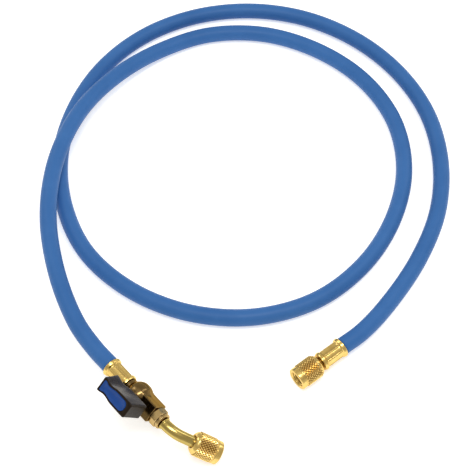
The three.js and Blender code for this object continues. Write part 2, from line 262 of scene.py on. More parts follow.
hose_points = [beyond_mouth(straight_place, 0), beyond_mouth(straight_place, straight_lead)]
hose_points += [Vector((x, y, hose_diameter * (0.5 + lift))) for x, y, lift in route]
hose_points += [beyond_mouth(valve_place, straight_lead), beyond_mouth(valve_place, 0)]
hose_line = even_steps(smooth_line(hose_points, 24), 0.002)
hose_line.reverse()
hose_skin = swept(hose_line, hose_diameter / 2, 40)
hose = new_piece("hose_cover", hose_skin, hose_rubber(), "root")
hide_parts("hose")


# Ferrules
# A drawn brass shell over each hose end, crimped in an eight-jaw die: a collar
# is left at each end, and the jaws leave flats with a narrow raised seam between.
ferrule_radius = 7.0
ferrule_mouth_radius = 7.45
crimp_radius = 6.1
crimp_collar = 3.0
crimp_jaws = 8
seam_height = 0.4
seam_at = 0.055       # shares of a jaw's width
seam_half = 0.035


def softened(profile, radius, closed):
    """Rounds the corners of a profile of (place, radius) points, in millimetres."""
    points = [Vector(point) for point in profile]
    count = len(points)
    result = []
    for i, corner in enumerate(points):
        if not closed and i in (0, count - 1):
            result.append(corner)
            continue
        before = points[i - 1]
        after = points[(i + 1) % count]
        reach = min(radius, (corner - before).length * 0.4, (after - corner).length * 0.4)
        start = corner + (before - corner).normalized() * reach
        end = corner + (after - corner).normalized() * reach
        for k in range(5):
            t = k / 4
            result.append((1 - t) ** 2 * start + 2 * t * (1 - t) * corner + t * t * end)
    return result


def turned(profile, sides=96, radial=None, closed=True, soften=0.15):
    """Turns a profile about X, in millimetres. A closed profile makes a ring,
    an open one starts and ends on the axis. radial changes a radius by angle."""
    build = bmesh.new()
    points = softened(profile, soften, closed)
    rings = []
    for x, radius in points:
        ring = []
        for k in range(sides):
            turn = 2 * math.pi * k / sides
            reach = radial(x, radius, turn) if radial else radius
            ring.append(build.verts.new((x * mm, reach * mm * math.cos(turn), reach * mm * math.sin(turn))))
        rings.append(ring)
    lengths = [0.0]
    for before, after in zip(points, points[1:]):
        lengths.append(lengths[-1] + (after - before).length * mm)
    if closed:
        rings.append(rings[0])
        lengths.append(lengths[-1] + (points[0] - points[-1]).length * mm)
    bridge_rings(build, rings, lengths, closed_ends=not closed)
    bmesh.ops.remove_doubles(build, verts=build.verts, dist=1e-7)
    bmesh.ops.recalc_face_normals(build, faces=build.faces)
    return build


def set_down(build, place):
    build.transform(place)
    return build


def brass(name, dark, light, rough, line_bump, edge_tint, height_mark=""):
    """Turned brass: warm tint drift, tool lines round the axis, crevices darkened by tarnish and painted
    shade.
    height_mark names the attribute that tells groove from peak on a knurl, whose grooves get painted shade."""
    material, nodes, links, shader = new_material(name)
    place = add_node(nodes, "ShaderNodeTexCoord")
    drift = add_node(nodes, "ShaderNodeTexNoise", Scale=160.0, Detail=5.0, Roughness=0.6)
    links.new(place.outputs["Object"], drift.inputs["Vector"])
    tint = ramp(nodes, [(0.3, dark), (0.7, light)])
    links.new(drift.outputs["Fac"], tint.inputs["Fac"])
    if height_mark:
        # Painted shade: the knurl's grooves darken the deeper they lie
        height = add_node(nodes, "ShaderNodeAttribute", attribute_name=height_mark)
        tarnish_and_shade = ramp(nodes, [(0.05, (0.34, 0.23, 0.10)), (0.7, (1.0, 1.0, 1.0))])
        links.new(height.outputs["Fac"], tarnish_and_shade.inputs["Fac"])
    else:
        # Crevices darken where occlusion falls: partly tarnish, partly painted shade
        crevice = add_node(nodes, "ShaderNodeAmbientOcclusion", Distance=0.0012, samples=8)
        tarnish_and_shade = ramp(nodes, [(0.35, (0.28, 0.18, 0.09)), (0.85, (1.0, 1.0, 1.0))])
        links.new(crevice.outputs["AO"], tarnish_and_shade.inputs["Fac"])
    mix = add_node(nodes, "ShaderNodeMix", data_type="RGBA", blend_type="MULTIPLY")
    mix.inputs["Factor"].default_value = 1.0
    links.new(tint.outputs["Color"], mix.inputs["A"])
    links.new(tarnish_and_shade.outputs["Color"], mix.inputs["B"])
    links.new(mix.outputs["Result"], shader.inputs["Base Color"])
    shader.inputs["Metallic"].default_value = 1.0
    shader.inputs["Specular Tint"].default_value = (*edge_tint, 1)
    smear = add_node(nodes, "ShaderNodeTexNoise", Scale=420.0, Detail=4.0, Roughness=0.7)
    links.new(place.outputs["Object"], smear.inputs["Vector"])
    shine = ramp(nodes, [(0.3, grey(rough * 0.75)), (0.75, grey(rough * 1.3))])
    links.new(smear.outputs["Fac"], shine.inputs["Fac"])
    links.new(shine.outputs["Color"], shader.inputs["Roughness"])
    skin = add_node(nodes, "ShaderNodeUVMap", uv_map="turned")
    stretch = add_node(nodes, "ShaderNodeMapping", Scale=(2.0, 9000.0, 1.0))
    links.new(skin.outputs["UV"], stretch.inputs["Vector"])
    lines = add_node(nodes, "ShaderNodeTexNoise", Scale=1.0, Detail=2.0)
    links.new(stretch.outputs["Vector"], lines.inputs["Vector"])
    pits = add_node(nodes, "ShaderNodeMath", operation="MULTIPLY_ADD")
    pits.inputs[1].default_value = 0.6
    links.new(smear.outputs["Fac"], pits.inputs[0])
    links.new(lines.outputs["Fac"], pits.inputs[2])
    bump = add_node(nodes, "ShaderNodeBump", Strength=line_bump, Distance=0.00008)
    links.new(pits.outputs["Value"], bump.inputs["Height"])
    links.new(bump.outputs["Normal"], shader.inputs["Normal"])
    return material


bright_brass = brass("bright_brass", (0.68, 0.47, 0.14), (0.84, 0.61, 0.21), 0.2, 0.3, (1.0, 0.9, 0.7))
# A lighter copy of the nut's brass for the knurl: a painted highlight on the diamonds' tops, with painted
# shade down in the grooves
knurl_brass = brass(
    "knurl_brass", (0.80, 0.56, 0.18), (0.96, 0.72, 0.28), 0.24, 0.0, (1.0, 0.9, 0.7), "knurl_height",
)


def crimped(x, radius, turn):
    """Eight pressed flats with a raised seam where the jaws met."""
    mouth = -ferrule_length / mm
    inner_end = min(x - (mouth + crimp_collar), -crimp_collar - x)
    if radius < crimp_radius - 0.3 or inner_end < -0.2:
        return radius
    share = min(max((inner_end + 0.2) / 1.0, 0), 1)
    jaw = 2 * math.pi / crimp_jaws
    off = (turn / jaw - math.floor(turn / jaw) - 0.5) * jaw
    flat = crimp_radius * math.cos(jaw * 0.36) / math.cos(off * 0.72) - crimp_radius
    from_seam = (jaw / 2 - abs(off)) / jaw
    ridge = seam_height * math.exp(-((from_seam - seam_at) / seam_half) ** 2)
    return radius + share * (flat * 0.8 + ridge)


def ferrule():
    mouth = -ferrule_length / mm
    inside = 5.3
    tail_hole = 3.4
    wall = 2.0
    profile = [
        (mouth, inside + 1.0), (mouth, ferrule_mouth_radius - 0.25), (mouth + 0.4, ferrule_mouth_radius),
        (mouth + crimp_collar - 0.7, ferrule_radius), (mouth + crimp_collar, crimp_radius),
        (mouth + crimp_collar + 1.0, crimp_radius), (mouth + crimp_collar + 2.5, crimp_radius),
        (-crimp_collar - 2.5, crimp_radius), (-crimp_collar - 1.0, crimp_radius),
        (-crimp_collar, crimp_radius), (-crimp_collar + 0.7, ferrule_radius),
        (-1.2, ferrule_radius), (-0.9, ferrule_radius - 0.3), (0, ferrule_radius - 0.5),
        (0, tail_hole), (-wall, tail_hole), (-wall, inside), (mouth + 1.0, inside),
    ]
    return turned(profile, 192, crimped)


for name, place, node in (
    ("crimped_ferrule_straight", straight_place, "straight_end_ferrule"),
    ("crimped_ferrule_valve", valve_place, "valve_end_ferrule"),
):
    shell = new_piece(name, set_down(ferrule(), place), bright_brass, "root")
    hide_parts(node)


# Swivel nuts
# Each is turned from brass bar: a domed back, a barrel with a diamond knurl, a
# plain band at the open end and a 7/16-20 thread inside. It spins on its neck.
nut_length = 20.2
nut_radius = 8.6
knurl_height = 0.55
nut_band_radius = 8.2
nut_band_length = 4.2
nut_nose = 2.9
nut_hole = 4.4
nut_back_wall = 3.0
thread_radius = 5.56
thread_pitch = 1.27
thread_depth = 0.62
thread_start = 4.5
thread_steps = 76
knurl_columns = 26
knurl_rows = 10
knurl_start = 2.4


def threaded(x, radius, turn):
    """The inner wall follows a sharp helical thread between its runouts."""
    if abs(radius - thread_radius) > 0.01:
        return radius
    start = min(max(x - nut_back_wall - thread_start, 0), 1)
    end = min(max((nut_length - 0.7 - x) / 0.8, 0), 1)
    phase = (x / thread_pitch - turn / (2 * math.pi)) % 1.0
    crest = 1 - abs(phase * 2 - 1)
    return radius - thread_depth * start * end * crest


def nut_shell():
    band_start = nut_length - nut_band_length
    base = nut_radius - knurl_height
    outer = [
        (0, nut_hole), (0, 5.9), (0.4, 6.5), (1.0, 7.15), (1.9, 7.8), (nut_nose, base),
        (band_start - 0.1, base), (band_start, nut_band_radius - 0.25),
        (band_start + 0.35, nut_band_radius - 0.25), (band_start + 0.5, nut_band_radius),
        (nut_length - 0.45, nut_band_radius), (nut_length, nut_band_radius - 0.4),
        (nut_length, thread_radius + 0.5), (nut_length - 0.7, thread_radius),
    ]
    wall = softened(outer, 0.12, False)
    low = nut_back_wall + 0.2
    high = nut_length - 0.9
    inner = [
        Vector((high + (low - high) * k / thread_steps, thread_radius))
        for k in range(thread_steps + 1)
    ]
    back = [
        Vector((nut_back_wall, thread_radius - 0.2)), Vector((nut_back_wall, nut_hole)),
        Vector((0.2, nut_hole)),
    ]
    return turned([*wall, *inner, *back], 96, threaded, soften=0.0)


def knurl_tree():
    """Small flat-topped diamonds set out in staggered rings on a cylinder about X."""
    tree = bpy.data.node_groups.new("diamond_knurl", "GeometryNodeTree")
    face = tree.interface
    for name, kind in (
        ("Columns", "Int"), ("Rows", "Int"), ("Start", "Float"), ("Length", "Float"),
        ("Base radius", "Float"), ("Height", "Float"), ("Metal", "Material"),
    ):
        face.new_socket(name, in_out="INPUT", socket_type="NodeSocket" + kind)
    face.new_socket("Geometry", in_out="OUTPUT", socket_type="NodeSocketGeometry")
    nodes = tree.nodes
    links = tree.links
    sizes = nodes.new("NodeGroupInput")
    result = nodes.new("NodeGroupOutput")

    def maths(operation, first, second=None, third=None):
        node = nodes.new("ShaderNodeMath")
        node.operation = operation
        for socket, value in zip(node.inputs, (first, second, third)):
            if isinstance(value, (int, float)):
                socket.default_value = value
            elif value is not None:
                links.new(value, socket)
        return node.outputs[0]

    total = maths("MULTIPLY", sizes.outputs["Columns"], sizes.outputs["Rows"])
    points = nodes.new("GeometryNodePoints")
    links.new(total, points.inputs["Count"])
    index = nodes.new("GeometryNodeInputIndex").outputs[0]
    row = maths("FLOOR", maths("DIVIDE", maths("ADD", index, 0.5), sizes.outputs["Columns"]))
    column = maths("MODULO", index, sizes.outputs["Columns"])
    shift = maths("MULTIPLY", maths("MODULO", row, 2), 0.5)
    share = maths("DIVIDE", maths("ADD", column, shift), sizes.outputs["Columns"])
    turn = maths("MULTIPLY", share, 2 * math.pi)
    row_step = maths("DIVIDE", sizes.outputs["Length"], maths("ADD", sizes.outputs["Rows"], 1))
    along = maths("MULTIPLY_ADD", maths("ADD", row, 1), row_step, sizes.outputs["Start"])
    place = nodes.new("ShaderNodeCombineXYZ")
    links.new(along, place.inputs["X"])
    links.new(maths("MULTIPLY", maths("COSINE", turn), sizes.outputs["Base radius"]), place.inputs["Y"])
    links.new(maths("MULTIPLY", maths("SINE", turn), sizes.outputs["Base radius"]), place.inputs["Z"])
    links.new(place.outputs["Vector"], points.inputs["Position"])
    facing = nodes.new("ShaderNodeCombineXYZ")
    links.new(maths("SUBTRACT", turn, math.pi / 2), facing.inputs["X"])

    diamond = nodes.new("GeometryNodeMeshCone")
    diamond.inputs["Vertices"].default_value = 4
    diamond.inputs["Radius Top"].default_value = 0.3
    diamond.inputs["Radius Bottom"].default_value = 1.0
    diamond.inputs["Depth"].default_value = 1.0
    rise = nodes.new("ShaderNodeSeparateXYZ")
    links.new(nodes.new("GeometryNodeInputPosition").outputs["Position"], rise.inputs["Vector"])
    # Each diamond's height, which the knurl's brass turns into painted shade in the grooves
    mark = nodes.new("GeometryNodeStoreNamedAttribute")
    mark.data_type = "FLOAT"
    mark.inputs["Name"].default_value = "knurl_height"
    links.new(diamond.outputs["Mesh"], mark.inputs["Geometry"])
    links.new(rise.outputs["Z"], mark.inputs["Value"])
    spread = nodes.new("ShaderNodeCombineXYZ")
    links.new(row_step, spread.inputs["X"])
    half_round = maths("MULTIPLY", sizes.outputs["Base radius"], math.pi)
    half_pitch = maths("DIVIDE", half_round, sizes.outputs["Columns"])
    links.new(half_pitch, spread.inputs["Y"])
    links.new(sizes.outputs["Height"], spread.inputs["Z"])
    copies = nodes.new("GeometryNodeInstanceOnPoints")
    links.new(points.outputs[0], copies.inputs["Points"])
    links.new(mark.outputs["Geometry"], copies.inputs["Instance"])
    links.new(facing.outputs["Vector"], copies.inputs["Rotation"])
    links.new(spread.outputs["Vector"], copies.inputs["Scale"])
    real = nodes.new("GeometryNodeRealizeInstances")
    links.new(copies.outputs["Instances"], real.inputs["Geometry"])
    paint = nodes.new("GeometryNodeSetMaterial")
    links.new(real.outputs["Geometry"], paint.inputs["Geometry"])
    links.new(sizes.outputs["Metal"], paint.inputs["Material"])
    links.new(paint.outputs["Geometry"], result.inputs["Geometry"])
    return tree


def grown(name, tree, **values):
    """The plain mesh that a tree makes with these inputs."""
    holder = bpy.data.objects.new(name, bpy.data.meshes.new(name))
    bpy.context.scene.collection.objects.link(holder)
    modifier = holder.modifiers.new(name, "NODES")
    modifier.node_group = tree
    for item in tree.interface.items_tree:
        if item.in_out == "INPUT" and item.name.replace(" ", "_") in values:
            modifier[item.identifier] = values[item.name.replace(" ", "_")]
    depsgraph = bpy.context.evaluated_depsgraph_get()
    mesh = bpy.data.meshes.new_from_object(holder.evaluated_get(depsgraph))
    holder.modifiers.clear()
    bpy.data.objects.remove(holder)
    return mesh


diamond_knurl = knurl_tree()


def nut_frame(joint):
    """The nut's frame from its joint: X is the way it opens."""
    axis = Vector(joint["axis"]).normalized()
    side = axis.orthogonal().normalized()
    turn = Matrix((axis, side, axis.cross(side))).transposed().to_4x4()
    return Matrix.Translation(Vector(joint["pos_m"])) @ turn


for name, joint, node, body in (
    ("straight_nut", "straight_nut_spin", "straight_swivel_nut", "straight_nut"),
    ("valve_nut", "valve_nut_spin", "valve_swivel_nut", "valve_nut"),
):
    place = nut_frame(joints[joint])
    shell = new_piece(name + "_shell", set_down(nut_shell(), place), bright_brass, body)
    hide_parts(node)
    knurl_mesh = grown(
        name + "_knurl", diamond_knurl, Columns=knurl_columns, Rows=knurl_rows,
        Start=knurl_start * mm, Length=(nut_length - nut_band_length - knurl_start) * mm,
        Base_radius=(nut_radius - knurl_height) * mm, Height=knurl_height * mm, Metal=knurl_brass,
    )
    knurl_mesh.transform(place)
    knurl = bpy.data.objects.new(name + "_knurl", knurl_mesh)
    bpy.context.scene.collection.objects.link(knurl)
    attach(knurl, body)


# Straight stem
# A turned brass insert: its barbed tail is inside the hose, its neck shows in the
# gap between ferrule and nut, and its flared head holds the nut.
neck_radius = 4.1
head_radius = 5.1
head_length = 2.6
neck_shown = 1.4
stem_bore = 2.0
tail_tip = -18.2
tail_radius = 3.1
barb_radius = 3.5
barb_pitch = 4.2
running_gap = 0.3


def tail(bore):
    """The barbed tail's profile, from its bore to where the fitting starts."""
    points = [(tail_tip, bore), (tail_tip, tail_radius - 0.5)]
    for k in range(3):
        barb = tail_tip + barb_pitch * (k + 1)
        points += [(barb - 0.6, barb_radius), (barb, barb_radius), (barb, tail_radius)]
    return points + [(0.3, tail_radius)]


def flared_head(nut_back):
    head = nut_back + nut_back_wall + running_gap
    return [
        (head, neck_radius), (head, head_radius), (head + head_length - 0.5, head_radius),
        (head + head_length, head_radius - 0.5),
    ]


stem_end = flared_head(neck_shown)[-1][0]
stem_profile = [*tail(stem_bore), (0.3, neck_radius), *flared_head(neck_shown), (stem_end, stem_bore)]
straight_stem = new_piece(
    "straight_stem", set_down(turned(stem_profile), straight_place), bright_brass, "root",
)
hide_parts("straight_end_stem")


# Seals
# A black rubber ring lies against each flared head inside its nut. Screwing the
# nut home presses it on the port.
seal_thickness = 1.8
seal_bore = 2.3


def rubber_black():
    material, nodes, links, shader = new_material("seal_rubber")
    place = add_node(nodes, "ShaderNodeTexCoord")
    speck = add_node(nodes, "ShaderNodeTexNoise", Scale=1500.0, Detail=3.0)
    links.new(place.outputs["Object"], speck.inputs["Vector"])
    bump = add_node(nodes, "ShaderNodeBump", Strength=0.2, Distance=0.0001)
    links.new(speck.outputs["Fac"], bump.inputs["Height"])
    links.new(bump.outputs["Normal"], shader.inputs["Normal"])
    shader.inputs["Base Color"].default_value = (0.012, 0.012, 0.013, 1)
    shader.inputs["Roughness"].default_value = 0.6
    return material


seal_rubber = rubber_black()


def seal(nut_back):
    seat = nut_back + nut_back_wall + head_length + 2 * running_gap
    outside = head_radius - 0.2
    return turned([
        (seat, seal_bore), (seat, outside), (seat + seal_thickness, outside),
        (seat + seal_thickness, seal_bore),
    ], soften=0.3)


for name, place, nut_back, node in (
    ("straight_seal_ring", straight_place, neck_shown, "straight_end_seal"),
    ("valve_seal_ring", nut_frame(joints["valve_nut_spin"]), 0.0, "valve_end_seal"),
):
    piece = new_piece(name, set_down(seal(nut_back), place), seal_rubber, "root")
    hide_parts(node)


# Valve body
# One brass forging, bored and turned: barbed tail, round collar, onion-shaped
# ball housing with a boss for the stem, and a square bar at the outlet.
bar_half = 6.5
body_length = 29.1
collar_radius = 6.0
housing_radius = 10.0
chamber_radius = 5.6
valve_bore = 2.4
ball_radius = 5.3
seat_behind_ball = 1.0
boss_radius = 4.5
boss_foot = 6
boss_top = 12.9
stem_radius = 2.3
stem_x = stem_at / mm

body_brass = brass("body_brass", (0.16, 0.105, 0.04), (0.24, 0.155, 0.06), 0.2, 0.2, (0.75, 0.6, 0.42))


def rounded_square(turn, sharpness=22):
    """Radius of a square of half side 1 with rounded corners."""
    return (abs(math.cos(turn)) ** sharpness + abs(math.sin(turn)) ** sharpness) ** (-1 / sharpness)


def forged(x, radius, turn):
    """The round housing runs into the square bar with a forged fillet."""
    if x < stem_x - 6 or radius < chamber_radius + 0.1:
        return radius
    fillet = 0.5
    start = min(max((x - stem_x + 6) / 5, 0), 1)
    half = bar_half - max(x - body_length + 0.4, 0)
    bar = half * rounded_square(turn) * (0.8 + 0.2 * start)
    high = max(radius, bar)
    filled = fillet * math.log(1 + math.exp(-abs(radius - bar) / fillet))
    return high + filled * (1 - math.exp(-(body_length - x)))


def body_blank():
    chamber_back = stem_x - ball_radius - seat_behind_ball
    # The bore ends on the tail's first point, so the outside starts with its second.
    outer = [
        *tail(valve_bore)[1:], (0.3, collar_radius - 0.3),
        (0.6, collar_radius), (2.5, collar_radius), (3.2, 6.4),
        (4.2, 7.35), (5.3, 8.3), (6.4, 9.05), (7.6, 9.6), (8.9, 9.9), (10.2, housing_radius),
        (11.8, 9.95), (13.2, 9.75), (14.4, 9.35), (15.4, 8.75), (16.4, 7.9), (17.6, 6.9), (19.2, 5.9),
        (21.5, 5.8), (24, 5.8), (26.5, 5.8), (body_length - 0.4, 5.8), (body_length, 5.75),
    ]
    wall = softened(outer, 0.5, False)
    bore = [
        Vector((body_length, chamber_radius)), Vector((chamber_back, chamber_radius)),
        Vector((chamber_back, valve_bore)), Vector((tail_tip, valve_bore)),
    ]
    return turned([*wall, *bore], 192, forged, soften=0.0)


def rod_along(axis, start, end, radius, sides=64):
    profile = [(start, 0.0001), (start, radius), (end, radius), (end, 0.0001)]
    build = turned(profile, sides, None, False, 0.0)
    if axis == "Z":
        build.transform(Matrix.Rotation(-math.pi / 2, 4, "Y"))
    return build


def box_of(low, high):
    build = bmesh.new()
    middle = [(a + b) / 2 * mm for a, b in zip(low, high)]
    size = [(b - a) * mm for a, b in zip(low, high)]
    place = Matrix.Translation(middle) @ Matrix.Diagonal((*size, 1))
    bmesh.ops.create_cube(build, size=1.0, matrix=place)
    return build


def scratch_object(build, name):
    mesh = bpy.data.meshes.new(name)
    build.to_mesh(mesh)
    build.free()
    scratch = bpy.data.objects.new(name, mesh)
    bpy.context.scene.collection.objects.link(scratch)
    return scratch


def joined_and_cut(base, joined=(), cuts=(), bevel=0.0):
    """Boolean work on bmeshes in a fitting's own frame; bevels the sharp edges after it."""
    whole = scratch_object(base, "whole")
    tools = []
    for operation, builds in (("UNION", joined), ("DIFFERENCE", cuts)):
        for build in builds:
            tool = scratch_object(build, "tool")
            step = whole.modifiers.new("step", "BOOLEAN")
            step.operation = operation
            step.solver = "EXACT"
            step.object = tool
            tools.append(tool)
    if bevel:
        edge = whole.modifiers.new("edge", "BEVEL")
        edge.width = bevel * mm
        edge.segments = 2
        edge.limit_method = "ANGLE"
        edge.angle_limit = math.radians(50)
    depsgraph = bpy.context.evaluated_depsgraph_get()
    mesh = bpy.data.meshes.new_from_object(whole.evaluated_get(depsgraph))
    build = bmesh.new()
    build.from_mesh(mesh)
    bpy.data.meshes.remove(mesh)
    for scratch in (whole, *tools):
        bpy.data.objects.remove(scratch)
    return build


stem_axis_shift = Matrix.Translation((stem_at, 0, 0))
boss = rod_along("Z", boss_foot, boss_top, boss_radius)
boss.transform(stem_axis_shift)
stem_hole = rod_along("Z", 0, boss_top + 1, stem_radius + running_gap)
stem_hole.transform(stem_axis_shift)
body = joined_and_cut(body_blank(), [boss], [stem_hole])
valve_body = new_piece("valve_body_forging", set_down(body, valve_place), body_brass, "root")
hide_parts("valve_body")


# Ball and its seats
# A drilled steel ball, slotted on top for the stem, between two white plastic
# seat rings in the chamber.
slot_half = 1.3
slot_depth = 1.5
slot_reach = 7


def plain(name, colour, rough, metallic):
    material, _, _, shader = new_material(name)
    shader.inputs["Base Color"].default_value = (*colour, 1)
    shader.inputs["Roughness"].default_value = rough
    shader.inputs["Metallic"].default_value = metallic
    return material


ball_steel = plain("ball_steel", (0.6, 0.6, 0.62), 0.15, 1.0)
seat_plastic = plain("seat_plastic", (0.78, 0.77, 0.73), 0.45, 0.0)


def arc_points(radius, start, end, steps):
    """Points (x, radius about X) on a circle about the origin."""
    turns = [start + (end - start) * k / steps for k in range(steps + 1)]
    return [(-radius * math.cos(turn), radius * math.sin(turn)) for turn in turns]


bore_turn = math.asin(valve_bore / ball_radius)
ball_profile = arc_points(ball_radius, bore_turn, math.pi - bore_turn, 40)
drilled = turned(ball_profile, 64, None, True, 0.0)
slot_tool = box_of(
    (-slot_reach, -slot_half, ball_radius - slot_depth), (slot_reach, slot_half, ball_radius + 1),
)
ball_build = joined_and_cut(drilled, (), [slot_tool])
valve_ball = new_piece(
    "drilled_ball", set_down(ball_build, lever_place), ball_steel, "lever",
)
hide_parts("valve_ball")


def seat_ring():
    dish = ball_radius + running_gap
    rim = chamber_radius - running_gap
    back = -(ball_radius + seat_behind_ball) + running_gap
    rim_turn = math.asin((rim - 0.2) / dish)
    bore_edge = math.asin(valve_bore / dish)
    hollow = arc_points(dish, rim_turn, bore_edge, 8)
    return turned([(back, valve_bore), (back, rim), (hollow[0][0], rim), *hollow], 64, None, True, 0.0)


for name, turn, node in (
    ("seat_ring_hose_side", 0, "ball_seat_hose_side"),
    ("seat_ring_tube_side", math.pi, "ball_seat_tube_side"),
):
    seat_build = seat_ring()
    seat_build.transform(Matrix.Rotation(turn, 4, "Z"))
    piece = new_piece(name, set_down(seat_build, lever_place), seat_plastic, "root")
    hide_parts(node)


# Stem
# A turned brass stem, milled at both ends. It turns in the body's boss: its tang
# drives the ball and its square end drives the handle.
handle_base = 13.8
drive_height = 6.0
drive_half = 1.8
tang_half_width = 1.84
tang_half = 1.0
shank = rod_along("Z", ball_radius + running_gap, handle_base, stem_radius)
tang = box_of(
    (-tang_half_width, -tang_half, ball_radius - 1.2), (tang_half_width, tang_half, ball_radius + 1.3),
)
drive = box_of(
    (-drive_half, -drive_half, handle_base - 1), (drive_half, drive_half, handle_base + drive_height),
)
stem_build = joined_and_cut(shank, [tang, drive], bevel=0.12)
valve_stem = new_piece("turned_stem", set_down(stem_build, lever_place), body_brass, "lever")
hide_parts("valve_stem")


# Handle
# A moulded black lever, waisted towards the back, with a scoop down each side
# for the fingers and a recess on top for the insert. It fits the stem's square.
handle_height = 16.6
handle_half_length = 14.1
handle_half = 5.6
handle_back_half = 5.5
handle_waist_half = 4.5
handle_waist_at = -7.6
handle_growth = 0.14
scoop_depth = 0.7
scoop_middle = -1.5
scoop_half_length = 9.5
handle_nose = 1.4
edge_width = 0.55
edge_height = 0.7
insert_rim = 1.4
insert_front_rim = 3.0
insert_nose = 3.4
insert_depth = 1.6


def edge_curve(start, first, second, end, steps):
    """Points on a curve that leaves start towards first and reaches end from second."""
    points = []
    for k in range(steps):
        t = k / steps
        s = 1 - t
        points.append(tuple(
            s ** 3 * a + 3 * s * s * t * b + 3 * s * t * t * c + t ** 3 * d
            for a, b, c, d in zip(start, first, second, end)
        ))
    return points


def handle_outline(inset, nose, front_inset):
    """The handle's outline, as (x, y) in millimetres, the front towards +X."""
    front = handle_half_length - front_inset
    back = -handle_half_length + inset
    half = handle_half - inset
    back_half = handle_back_half - inset
    waist_half = handle_waist_half - inset
    waist_at = handle_waist_at
    corner = min(0.8, nose)
    one_side = edge_curve(
        (back + corner, -back_half), (back + 3, -back_half),
        (waist_at - 2, -waist_half), (waist_at, -waist_half), 10,
    )
    one_side += edge_curve((waist_at, -waist_half), (waist_at + 4, -waist_half), (-3, -half), (1, -half), 12)
    one_side += edge_curve((1, -half), (5, -half), (front - nose - 3, -half), (front - nose, -half), 8)
    one_side += edge_curve(
        (front - nose, -half), (front - nose * 0.4, -half),
        (front, -half + nose * 0.6), (front, -half + nose), 8,
    )
    one_side.append((front, -half + nose))
    other_side = [(x, -y) for x, y in reversed(one_side)]
    tail_round = edge_curve(
        (back + corner, back_half), (back + 0.2, back_half),
        (back, back_half - 0.2), (back, back_half - corner), 4,
    )
    tail_end = edge_curve(
        (back, -back_half + corner), (back, -back_half + 0.2),
        (back + 0.2, -back_half), (back + corner, -back_half), 4,
    )
    return [*one_side, *other_side[:-1], *tail_round, (back, back_half - corner), *tail_end]


def handle_ring(build, z, inset, nose, growth=1.0, scoop=0.0, front_inset=None):
    ring = []
    for x, y in handle_outline(inset, nose, inset if front_inset is None else front_inset):
        reach = max(0.0, 1 - ((x - scoop_middle) / scoop_half_length) ** 2)
        side = 1 if y > 0 else -1
        hollow = scoop * reach ** 2 if abs(y) > 2 else 0.0
        ring.append(build.verts.new((x * growth * mm, (y - side * hollow) * mm, z * mm)))
    return ring


def handle_shell():
    build = bmesh.new()
    rings = []
    lengths = []
    levels = [0, 0.15, 0.5, 1.0, 2, 4, 6, 8, 10, 12, 13.5, 14.8, 15.6, 16.0, 16.2, handle_height]
    for level in levels:
        share = level / handle_height
        growth = 1 + handle_growth * (1 - share) ** 1.3
        scoop = scoop_depth * math.sin(math.pi * min(share * 1.02, 1)) ** 0.8
        edge = min(level, handle_height - level)
        inset = edge_width * (1 - math.sqrt(max(0.0, 1 - (1 - min(edge / edge_height, 1)) ** 2)))
        rings.append(handle_ring(build, handle_base + level, inset, handle_nose, growth, scoop))
        lengths.append(level * mm)
    top = handle_base + handle_height
    for z, grow in ((top, 0.15), (top - 0.15, 0), (top - insert_depth, 0)):
        ring = handle_ring(build, z, insert_rim - grow, insert_nose, front_inset=insert_front_rim - grow)
        rings.append(ring)
        lengths.append(lengths[-1] + 0.001)
    bridge_rings(build, rings, lengths)
    bmesh.ops.recalc_face_normals(build, faces=build.faces)
    return build


def moulded(name, colour, rough, gloss):
    """Moulded plastic with a fine ripple, a patchy sheen and a thin gloss."""
    material, nodes, links, shader = new_material(name)
    place = add_node(nodes, "ShaderNodeTexCoord")
    wear = add_node(nodes, "ShaderNodeTexNoise", Scale=220.0, Detail=6.0, Roughness=0.7)
    links.new(place.outputs["Object"], wear.inputs["Vector"])
    shine = ramp(nodes, [(0.3, grey(rough * 0.8)), (0.8, grey(rough * 1.5))])
    links.new(wear.outputs["Fac"], shine.inputs["Fac"])
    links.new(shine.outputs["Color"], shader.inputs["Roughness"])
    tint = ramp(nodes, [(0.2, tuple(0.85 * c for c in colour)), (0.8, tuple(1.1 * c for c in colour))])
    links.new(wear.outputs["Fac"], tint.inputs["Fac"])
    links.new(tint.outputs["Color"], shader.inputs["Base Color"])
    ripple = add_node(nodes, "ShaderNodeTexNoise", Scale=130.0, Detail=2.0)
    links.new(place.outputs["Object"], ripple.inputs["Vector"])
    bump = add_node(nodes, "ShaderNodeBump", Strength=0.15, Distance=0.0002)
    links.new(ripple.outputs["Fac"], bump.inputs["Height"])
    links.new(bump.outputs["Normal"], shader.inputs["Normal"])
    shader.inputs["Specular IOR Level"].default_value = gloss
    return material


handle_plastic = moulded("handle_plastic", (0.014, 0.008, 0.0035), 0.22, 0.16)
socket_half = drive_half + running_gap
socket = box_of(
    (-socket_half, -socket_half, handle_base - 1),
    (socket_half, socket_half, handle_base + drive_height + running_gap),
)
handle_build = joined_and_cut(handle_shell(), (), [socket])
valve_handle = new_piece(
    "moulded_handle", set_down(handle_build, lever_place), handle_plastic, "lever",
)
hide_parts("valve_handle")


# Insert
# A blue moulded plate pressed into the handle's recess. Its edge stands a little
# proud and its face is sunk.
insert_gap = 0.2


def insert_plate():
    build = bmesh.new()
    top = handle_base + handle_height
    rings = []
    lengths = []
    for z, inset in (
        (top - insert_depth + 0.3, 0), (top - 0.1, 0), (top + 0.08, 0.08), (top + 0.15, 0.25),
        (top + 0.15, 0.6), (top + 0.08, 0.75), (top - 0.05, 0.85),
    ):
        inset += insert_gap
        ring = handle_ring(build, z, insert_rim + inset, insert_nose, front_inset=insert_front_rim + inset)
        rings.append(ring)
        lengths.append(z * mm)
    bridge_rings(build, rings, lengths)
    bmesh.ops.recalc_face_normals(build, faces=build.faces)
    return build


insert_plastic = moulded("insert_plastic", (0.013, 0.060, 0.26), 0.4, 0.15)
insert = new_piece(
    "blue_insert", set_down(insert_plate(), lever_place), insert_plastic, "lever",
)
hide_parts("handle_insert")


